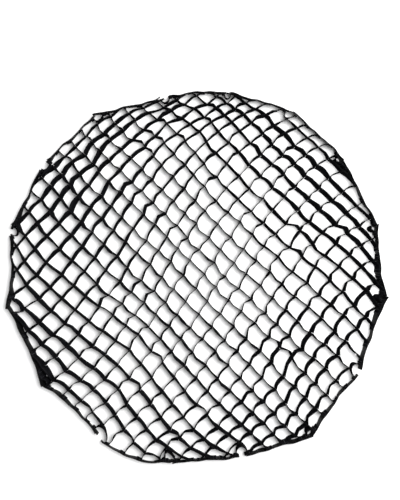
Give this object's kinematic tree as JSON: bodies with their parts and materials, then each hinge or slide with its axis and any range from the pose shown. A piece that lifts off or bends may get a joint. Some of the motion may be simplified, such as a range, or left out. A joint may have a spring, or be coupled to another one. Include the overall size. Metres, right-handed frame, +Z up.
{
  "type": "fabric egg crate grid for a parabolic softbox",
  "caption": "Black fabric light-control grid: crossed strips on edge form square cells inside a rim of hook-taped bands, and the cells rack to fold flat.",
  "frame": {"origin": "middle of the grid, on the plane of its lower edges", "axes": "+Z up through the cells, +X and +Y towards the middles of two rim bands; the strips run at 45 degrees to them"},
  "size_m": [0.8896, 0.8896, 0.04],
  "materials": {
    "nylon_cloth": "coated black nylon, plain weave, slightly lustrous",
    "webbing": "black ribbed polyester webbing",
    "hook_tape": "black nylon hook tape",
    "thread": "black bonded polyester thread"
  },
  "bodies": {
    "rising_strip_12": {"rising_strip_12": "nylon_cloth"},
    "falling_strip_12": {"falling_strip_12": "nylon_cloth"},
    "falling_strip_01": {"falling_strip_01": "nylon_cloth"},
    "falling_strip_02": {"falling_strip_02": "nylon_cloth"},
    "falling_strip_03": {"falling_strip_03": "nylon_cloth"},
    "falling_strip_04": {"falling_strip_04": "nylon_cloth"},
    "falling_strip_05": {"falling_strip_05": "nylon_cloth"},
    "falling_strip_06": {"falling_strip_06": "nylon_cloth"},
    "falling_strip_07": {"falling_strip_07": "nylon_cloth"},
    "falling_strip_08": {"falling_strip_08": "nylon_cloth"},
    "falling_strip_09": {"falling_strip_09": "nylon_cloth"},
    "falling_strip_10": {"falling_strip_10": "nylon_cloth"},
    "falling_strip_11": {"falling_strip_11": "nylon_cloth"},
    "falling_strip_13": {"falling_strip_13": "nylon_cloth"},
    "falling_strip_14": {"falling_strip_14": "nylon_cloth"},
    "falling_strip_15": {"falling_strip_15": "nylon_cloth"},
    "falling_strip_16": {"falling_strip_16": "nylon_cloth"},
    "falling_strip_17": {"falling_strip_17": "nylon_cloth"},
    "falling_strip_18": {"falling_strip_18": "nylon_cloth"},
    "falling_strip_19": {"falling_strip_19": "nylon_cloth"},
    "falling_strip_20": {"falling_strip_20": "nylon_cloth"},
    "falling_strip_21": {"falling_strip_21": "nylon_cloth"},
    "falling_strip_22": {"falling_strip_22": "nylon_cloth"},
    "falling_strip_23": {"falling_strip_23": "nylon_cloth"},
    "rising_strip_02": {"rising_strip_02": "nylon_cloth"},
    "rising_strip_03": {"rising_strip_03": "nylon_cloth"},
    "rising_strip_04": {"rising_strip_04": "nylon_cloth"},
    "rising_strip_05": {"rising_strip_05": "nylon_cloth"},
    "rising_strip_06": {"rising_strip_06": "nylon_cloth"},
    "rising_strip_07": {"rising_strip_07": "nylon_cloth"},
    "rising_strip_08": {"rising_strip_08": "nylon_cloth"},
    "rising_strip_09": {"rising_strip_09": "nylon_cloth"},
    "rising_strip_10": {"rising_strip_10": "nylon_cloth"},
    "rising_strip_11": {"rising_strip_11": "nylon_cloth"},
    "rising_strip_13": {"rising_strip_13": "nylon_cloth"},
    "rising_strip_14": {"rising_strip_14": "nylon_cloth"},
    "rising_strip_15": {"rising_strip_15": "nylon_cloth"},
    "rising_strip_16": {"rising_strip_16": "nylon_cloth"},
    "rising_strip_17": {"rising_strip_17": "nylon_cloth"},
    "rising_strip_18": {"rising_strip_18": "nylon_cloth"},
    "rising_strip_19": {"rising_strip_19": "nylon_cloth"},
    "rising_strip_20": {"rising_strip_20": "nylon_cloth"},
    "rising_strip_21": {"rising_strip_21": "nylon_cloth"},
    "rising_strip_22": {"rising_strip_22": "nylon_cloth"},
    "rim_band_01": {"rim_band_01": "webbing"},
    "rim_band_02": {"rim_band_02": "webbing"},
    "rim_band_03": {"rim_band_03": "webbing"},
    "rim_band_04": {"rim_band_04": "webbing"},
    "rim_band_05": {"rim_band_05": "webbing"},
    "rim_band_06": {"rim_band_06": "webbing"},
    "rim_band_07": {"rim_band_07": "webbing"},
    "rim_band_08": {"rim_band_08": "webbing"},
    "rim_band_09": {"rim_band_09": "webbing"},
    "rim_band_10": {"rim_band_10": "webbing"},
    "rim_band_11": {"rim_band_11": "webbing"},
    "rim_band_12": {"rim_band_12": "webbing"},
    "rim_band_13": {"rim_band_13": "webbing"},
    "rim_band_14": {"rim_band_14": "webbing"},
    "rim_band_15": {"rim_band_15": "webbing"},
    "rim_band_16": {"rim_band_16": "webbing"}
  },
  "joints": [
    {"name": "rack", "type": "hinge", "parent": "rising_strip_12", "child": "falling_strip_12", "pos_m": [0, 0, 0.02], "axis": [0, 0, 1], "range_deg": [-8, 8]},
    {"name": "lean_falling_strip_01", "type": "hinge", "parent": "rising_strip_12", "child": "falling_strip_01", "pos_m": [0.29557, 0.29557, 0.02], "axis": [0, 0, 1], "range_deg": [-8.1, 8.1]},
    {"name": "lean_falling_strip_02", "type": "hinge", "parent": "rising_strip_12", "child": "falling_strip_02", "pos_m": [0.2687, 0.2687, 0.02], "axis": [0, 0, 1], "range_deg": [-8.1, 8.1]},
    {"name": "lean_falling_strip_03", "type": "hinge", "parent": "rising_strip_12", "child": "falling_strip_03", "pos_m": [0.24183, 0.24183, 0.02], "axis": [0, 0, 1], "range_deg": [-8.1, 8.1]},
    {"name": "lean_falling_strip_04", "type": "hinge", "parent": "rising_strip_12", "child": "falling_strip_04", "pos_m": [0.21496, 0.21496, 0.02], "axis": [0, 0, 1], "range_deg": [-8.1, 8.1]},
    {"name": "lean_falling_strip_05", "type": "hinge", "parent": "rising_strip_12", "child": "falling_strip_05", "pos_m": [0.18809, 0.18809, 0.02], "axis": [0, 0, 1], "range_deg": [-8.1, 8.1]},
    {"name": "lean_falling_strip_06", "type": "hinge", "parent": "rising_strip_12", "child": "falling_strip_06", "pos_m": [0.16122, 0.16122, 0.02], "axis": [0, 0, 1], "range_deg": [-8.1, 8.1]},
    {"name": "lean_falling_strip_07", "type": "hinge", "parent": "rising_strip_12", "child": "falling_strip_07", "pos_m": [0.13435, 0.13435, 0.02], "axis": [0, 0, 1], "range_deg": [-8.1, 8.1]},
    {"name": "lean_falling_strip_08", "type": "hinge", "parent": "rising_strip_12", "child": "falling_strip_08", "pos_m": [0.10748, 0.10748, 0.02], "axis": [0, 0, 1], "range_deg": [-8.1, 8.1]},
    {"name": "lean_falling_strip_09", "type": "hinge", "parent": "rising_strip_12", "child": "falling_strip_09", "pos_m": [0.08061, 0.08061, 0.02], "axis": [0, 0, 1], "range_deg": [-8.1, 8.1]},
    {"name": "lean_falling_strip_10", "type": "hinge", "parent": "rising_strip_12", "child": "falling_strip_10", "pos_m": [0.05374, 0.05374, 0.02], "axis": [0, 0, 1], "range_deg": [-8.1, 8.1]},
    {"name": "lean_falling_strip_11", "type": "hinge", "parent": "rising_strip_12", "child": "falling_strip_11", "pos_m": [0.02687, 0.02687, 0.02], "axis": [0, 0, 1], "range_deg": [-8.1, 8.1]},
    {"name": "lean_falling_strip_13", "type": "hinge", "parent": "rising_strip_12", "child": "falling_strip_13", "pos_m": [-0.02687, -0.02687, 0.02], "axis": [0, 0, 1], "range_deg": [-8.1, 8.1]},
    {"name": "lean_falling_strip_14", "type": "hinge", "parent": "rising_strip_12", "child": "falling_strip_14", "pos_m": [-0.05374, -0.05374, 0.02], "axis": [0, 0, 1], "range_deg": [-8.1, 8.1]},
    {"name": "lean_falling_strip_15", "type": "hinge", "parent": "rising_strip_12", "child": "falling_strip_15", "pos_m": [-0.08061, -0.08061, 0.02], "axis": [0, 0, 1], "range_deg": [-8.1, 8.1]},
    {"name": "lean_falling_strip_16", "type": "hinge", "parent": "rising_strip_12", "child": "falling_strip_16", "pos_m": [-0.10748, -0.10748, 0.02], "axis": [0, 0, 1], "range_deg": [-8.1, 8.1]},
    {"name": "lean_falling_strip_17", "type": "hinge", "parent": "rising_strip_12", "child": "falling_strip_17", "pos_m": [-0.13435, -0.13435, 0.02], "axis": [0, 0, 1], "range_deg": [-8.1, 8.1]},
    {"name": "lean_falling_strip_18", "type": "hinge", "parent": "rising_strip_12", "child": "falling_strip_18", "pos_m": [-0.16122, -0.16122, 0.02], "axis": [0, 0, 1], "range_deg": [-8.1, 8.1]},
    {"name": "lean_falling_strip_19", "type": "hinge", "parent": "rising_strip_12", "child": "falling_strip_19", "pos_m": [-0.18809, -0.18809, 0.02], "axis": [0, 0, 1], "range_deg": [-8.1, 8.1]},
    {"name": "lean_falling_strip_20", "type": "hinge", "parent": "rising_strip_12", "child": "falling_strip_20", "pos_m": [-0.21496, -0.21496, 0.02], "axis": [0, 0, 1], "range_deg": [-8.1, 8.1]},
    {"name": "lean_falling_strip_21", "type": "hinge", "parent": "rising_strip_12", "child": "falling_strip_21", "pos_m": [-0.24183, -0.24183, 0.02], "axis": [0, 0, 1], "range_deg": [-8.1, 8.1]},
    {"name": "lean_falling_strip_22", "type": "hinge", "parent": "rising_strip_12", "child": "falling_strip_22", "pos_m": [-0.2687, -0.2687, 0.02], "axis": [0, 0, 1], "range_deg": [-8.1, 8.1]},
    {"name": "lean_falling_strip_23", "type": "hinge", "parent": "rising_strip_12", "child": "falling_strip_23", "pos_m": [-0.29557, -0.29557, 0.02], "axis": [0, 0, 1], "range_deg": [-8.1, 8.1]},
    {"name": "lean_rising_strip_02", "type": "hinge", "parent": "falling_strip_12", "child": "rising_strip_02", "pos_m": [0.2687, -0.2687, 0.02], "axis": [0, 0, 1], "range_deg": [-8.1, 8.1]},
    {"name": "lean_rising_strip_03", "type": "hinge", "parent": "falling_strip_12", "child": "rising_strip_03", "pos_m": [0.24183, -0.24183, 0.02], "axis": [0, 0, 1], "range_deg": [-8.1, 8.1]},
    {"name": "lean_rising_strip_04", "type": "hinge", "parent": "falling_strip_12", "child": "rising_strip_04", "pos_m": [0.21496, -0.21496, 0.02], "axis": [0, 0, 1], "range_deg": [-8.1, 8.1]},
    {"name": "lean_rising_strip_05", "type": "hinge", "parent": "falling_strip_12", "child": "rising_strip_05", "pos_m": [0.18809, -0.18809, 0.02], "axis": [0, 0, 1], "range_deg": [-8.1, 8.1]},
    {"name": "lean_rising_strip_06", "type": "hinge", "parent": "falling_strip_12", "child": "rising_strip_06", "pos_m": [0.16122, -0.16122, 0.02], "axis": [0, 0, 1], "range_deg": [-8.1, 8.1]},
    {"name": "lean_rising_strip_07", "type": "hinge", "parent": "falling_strip_12", "child": "rising_strip_07", "pos_m": [0.13435, -0.13435, 0.02], "axis": [0, 0, 1], "range_deg": [-8.1, 8.1]},
    {"name": "lean_rising_strip_08", "type": "hinge", "parent": "falling_strip_12", "child": "rising_strip_08", "pos_m": [0.10748, -0.10748, 0.02], "axis": [0, 0, 1], "range_deg": [-8.1, 8.1]},
    {"name": "lean_rising_strip_09", "type": "hinge", "parent": "falling_strip_12", "child": "rising_strip_09", "pos_m": [0.08061, -0.08061, 0.02], "axis": [0, 0, 1], "range_deg": [-8.1, 8.1]},
    {"name": "lean_rising_strip_10", "type": "hinge", "parent": "falling_strip_12", "child": "rising_strip_10", "pos_m": [0.05374, -0.05374, 0.02], "axis": [0, 0, 1], "range_deg": [-8.1, 8.1]},
    {"name": "lean_rising_strip_11", "type": "hinge", "parent": "falling_strip_12", "child": "rising_strip_11", "pos_m": [0.02687, -0.02687, 0.02], "axis": [0, 0, 1], "range_deg": [-8.1, 8.1]},
    {"name": "lean_rising_strip_13", "type": "hinge", "parent": "falling_strip_12", "child": "rising_strip_13", "pos_m": [-0.02687, 0.02687, 0.02], "axis": [0, 0, 1], "range_deg": [-8.1, 8.1]},
    {"name": "lean_rising_strip_14", "type": "hinge", "parent": "falling_strip_12", "child": "rising_strip_14", "pos_m": [-0.05374, 0.05374, 0.02], "axis": [0, 0, 1], "range_deg": [-8.1, 8.1]},
    {"name": "lean_rising_strip_15", "type": "hinge", "parent": "falling_strip_12", "child": "rising_strip_15", "pos_m": [-0.08061, 0.08061, 0.02], "axis": [0, 0, 1], "range_deg": [-8.1, 8.1]},
    {"name": "lean_rising_strip_16", "type": "hinge", "parent": "falling_strip_12", "child": "rising_strip_16", "pos_m": [-0.10748, 0.10748, 0.02], "axis": [0, 0, 1], "range_deg": [-8.1, 8.1]},
    {"name": "lean_rising_strip_17", "type": "hinge", "parent": "falling_strip_12", "child": "rising_strip_17", "pos_m": [-0.13435, 0.13435, 0.02], "axis": [0, 0, 1], "range_deg": [-8.1, 8.1]},
    {"name": "lean_rising_strip_18", "type": "hinge", "parent": "falling_strip_12", "child": "rising_strip_18", "pos_m": [-0.16122, 0.16122, 0.02], "axis": [0, 0, 1], "range_deg": [-8.1, 8.1]},
    {"name": "lean_rising_strip_19", "type": "hinge", "parent": "falling_strip_12", "child": "rising_strip_19", "pos_m": [-0.18809, 0.18809, 0.02], "axis": [0, 0, 1], "range_deg": [-8.1, 8.1]},
    {"name": "lean_rising_strip_20", "type": "hinge", "parent": "falling_strip_12", "child": "rising_strip_20", "pos_m": [-0.21496, 0.21496, 0.02], "axis": [0, 0, 1], "range_deg": [-8.1, 8.1]},
    {"name": "lean_rising_strip_21", "type": "hinge", "parent": "falling_strip_12", "child": "rising_strip_21", "pos_m": [-0.24183, 0.24183, 0.02], "axis": [0, 0, 1], "range_deg": [-8.1, 8.1]},
    {"name": "lean_rising_strip_22", "type": "hinge", "parent": "falling_strip_12", "child": "rising_strip_22", "pos_m": [-0.2687, 0.2687, 0.02], "axis": [0, 0, 1], "range_deg": [-8.1, 8.1]},
    {"name": "swing_rim_band_01", "type": "hinge", "parent": "rising_strip_04", "child": "rim_band_01", "pos_m": [0.442, 0.01208, 0.02], "axis": [0, 0, 1], "range_deg": [-4.1, 4.1]},
    {"name": "swing_rim_band_02", "type": "hinge", "parent": "rising_strip_08", "child": "rim_band_02", "pos_m": [0.40125, 0.18629, 0.02], "axis": [0, 0, 1], "range_deg": [-6.93, 6.93]},
    {"name": "swing_rim_band_03", "type": "hinge", "parent": "rising_strip_12", "child": "rim_band_03", "pos_m": [0.31254, 0.31254, 0.02], "axis": [0, 0, 1], "range_deg": [-8.1, 8.1]},
    {"name": "swing_rim_band_04", "type": "hinge", "parent": "rising_strip_16", "child": "rim_band_04", "pos_m": [0.18629, 0.40125, 0.02], "axis": [0, 0, 1], "range_deg": [-6.93, 6.93]},
    {"name": "swing_rim_band_05", "type": "hinge", "parent": "rising_strip_20", "child": "rim_band_05", "pos_m": [0.01208, 0.442, 0.02], "axis": [0, 0, 1], "range_deg": [-4.1, 4.1]},
    {"name": "swing_rim_band_06", "type": "hinge", "parent": "falling_strip_08", "child": "rim_band_06", "pos_m": [-0.18629, 0.40125, 0.02], "axis": [0, 0, 1], "range_deg": [-6.93, 6.93]},
    {"name": "swing_rim_band_07", "type": "hinge", "parent": "falling_strip_12", "child": "rim_band_07", "pos_m": [-0.31254, 0.31254, 0.02], "axis": [0, 0, 1], "range_deg": [-8.1, 8.1]},
    {"name": "swing_rim_band_08", "type": "hinge", "parent": "falling_strip_16", "child": "rim_band_08", "pos_m": [-0.40125, 0.18629, 0.02], "axis": [0, 0, 1], "range_deg": [-6.93, 6.93]},
    {"name": "swing_rim_band_09", "type": "hinge", "parent": "rising_strip_20", "child": "rim_band_09", "pos_m": [-0.442, -0.01208, 0.02], "axis": [0, 0, 1], "range_deg": [-4.1, 4.1]},
    {"name": "swing_rim_band_10", "type": "hinge", "parent": "rising_strip_16", "child": "rim_band_10", "pos_m": [-0.40125, -0.18629, 0.02], "axis": [0, 0, 1], "range_deg": [-6.93, 6.93]},
    {"name": "swing_rim_band_11", "type": "hinge", "parent": "rising_strip_12", "child": "rim_band_11", "pos_m": [-0.31254, -0.31254, 0.02], "axis": [0, 0, 1], "range_deg": [-8.1, 8.1]},
    {"name": "swing_rim_band_12", "type": "hinge", "parent": "rising_strip_08", "child": "rim_band_12", "pos_m": [-0.18629, -0.40125, 0.02], "axis": [0, 0, 1], "range_deg": [-6.93, 6.93]},
    {"name": "swing_rim_band_13", "type": "hinge", "parent": "rising_strip_04", "child": "rim_band_13", "pos_m": [-0.01208, -0.442, 0.02], "axis": [0, 0, 1], "range_deg": [-4.1, 4.1]},
    {"name": "swing_rim_band_14", "type": "hinge", "parent": "falling_strip_16", "child": "rim_band_14", "pos_m": [0.18629, -0.40125, 0.02], "axis": [0, 0, 1], "range_deg": [-6.93, 6.93]},
    {"name": "swing_rim_band_15", "type": "hinge", "parent": "falling_strip_12", "child": "rim_band_15", "pos_m": [0.31254, -0.31254, 0.02], "axis": [0, 0, 1], "range_deg": [-8.1, 8.1]},
    {"name": "swing_rim_band_16", "type": "hinge", "parent": "falling_strip_08", "child": "rim_band_16", "pos_m": [0.40125, -0.18629, 0.02], "axis": [0, 0, 1], "range_deg": [-6.93, 6.93]}
  ],
  "couplings": [
    {"joint": "lean_falling_strip_01", "follows": "rack", "ratio": 1},
    {"joint": "lean_falling_strip_02", "follows": "rack", "ratio": 1},
    {"joint": "lean_falling_strip_03", "follows": "rack", "ratio": 1},
    {"joint": "lean_falling_strip_04", "follows": "rack", "ratio": 1},
    {"joint": "lean_falling_strip_05", "follows": "rack", "ratio": 1},
    {"joint": "lean_falling_strip_06", "follows": "rack", "ratio": 1},
    {"joint": "lean_falling_strip_07", "follows": "rack", "ratio": 1},
    {"joint": "lean_falling_strip_08", "follows": "rack", "ratio": 1},
    {"joint": "lean_falling_strip_09", "follows": "rack", "ratio": 1},
    {"joint": "lean_falling_strip_10", "follows": "rack", "ratio": 1},
    {"joint": "lean_falling_strip_11", "follows": "rack", "ratio": 1},
    {"joint": "lean_falling_strip_13", "follows": "rack", "ratio": 1},
    {"joint": "lean_falling_strip_14", "follows": "rack", "ratio": 1},
    {"joint": "lean_falling_strip_15", "follows": "rack", "ratio": 1},
    {"joint": "lean_falling_strip_16", "follows": "rack", "ratio": 1},
    {"joint": "lean_falling_strip_17", "follows": "rack", "ratio": 1},
    {"joint": "lean_falling_strip_18", "follows": "rack", "ratio": 1},
    {"joint": "lean_falling_strip_19", "follows": "rack", "ratio": 1},
    {"joint": "lean_falling_strip_20", "follows": "rack", "ratio": 1},
    {"joint": "lean_falling_strip_21", "follows": "rack", "ratio": 1},
    {"joint": "lean_falling_strip_22", "follows": "rack", "ratio": 1},
    {"joint": "lean_falling_strip_23", "follows": "rack", "ratio": 1},
    {"joint": "lean_rising_strip_02", "follows": "rack", "ratio": -1},
    {"joint": "lean_rising_strip_03", "follows": "rack", "ratio": -1},
    {"joint": "lean_rising_strip_04", "follows": "rack", "ratio": -1},
    {"joint": "lean_rising_strip_05", "follows": "rack", "ratio": -1},
    {"joint": "lean_rising_strip_06", "follows": "rack", "ratio": -1},
    {"joint": "lean_rising_strip_07", "follows": "rack", "ratio": -1},
    {"joint": "lean_rising_strip_08", "follows": "rack", "ratio": -1},
    {"joint": "lean_rising_strip_09", "follows": "rack", "ratio": -1},
    {"joint": "lean_rising_strip_10", "follows": "rack", "ratio": -1},
    {"joint": "lean_rising_strip_11", "follows": "rack", "ratio": -1},
    {"joint": "lean_rising_strip_13", "follows": "rack", "ratio": -1},
    {"joint": "lean_rising_strip_14", "follows": "rack", "ratio": -1},
    {"joint": "lean_rising_strip_15", "follows": "rack", "ratio": -1},
    {"joint": "lean_rising_strip_16", "follows": "rack", "ratio": -1},
    {"joint": "lean_rising_strip_17", "follows": "rack", "ratio": -1},
    {"joint": "lean_rising_strip_18", "follows": "rack", "ratio": -1},
    {"joint": "lean_rising_strip_19", "follows": "rack", "ratio": -1},
    {"joint": "lean_rising_strip_20", "follows": "rack", "ratio": -1},
    {"joint": "lean_rising_strip_21", "follows": "rack", "ratio": -1},
    {"joint": "lean_rising_strip_22", "follows": "rack", "ratio": -1},
    {"joint": "swing_rim_band_01", "follows": "rack", "ratio": 0.5},
    {"joint": "swing_rim_band_02", "follows": "rack", "ratio": 0.8536},
    {"joint": "swing_rim_band_03", "follows": "rack", "ratio": 1},
    {"joint": "swing_rim_band_04", "follows": "rack", "ratio": 0.8536},
    {"joint": "swing_rim_band_05", "follows": "rack", "ratio": 0.5},
    {"joint": "swing_rim_band_06", "follows": "rack", "ratio": -0.8536},
    {"joint": "swing_rim_band_07", "follows": "rack", "ratio": -1},
    {"joint": "swing_rim_band_08", "follows": "rack", "ratio": -0.8536},
    {"joint": "swing_rim_band_09", "follows": "rack", "ratio": 0.5},
    {"joint": "swing_rim_band_10", "follows": "rack", "ratio": 0.8536},
    {"joint": "swing_rim_band_11", "follows": "rack", "ratio": 1},
    {"joint": "swing_rim_band_12", "follows": "rack", "ratio": 0.8536},
    {"joint": "swing_rim_band_13", "follows": "rack", "ratio": 0.5},
    {"joint": "swing_rim_band_14", "follows": "rack", "ratio": -0.8536},
    {"joint": "swing_rim_band_15", "follows": "rack", "ratio": -1},
    {"joint": "swing_rim_band_16", "follows": "rack", "ratio": -0.8536}
  ]
}
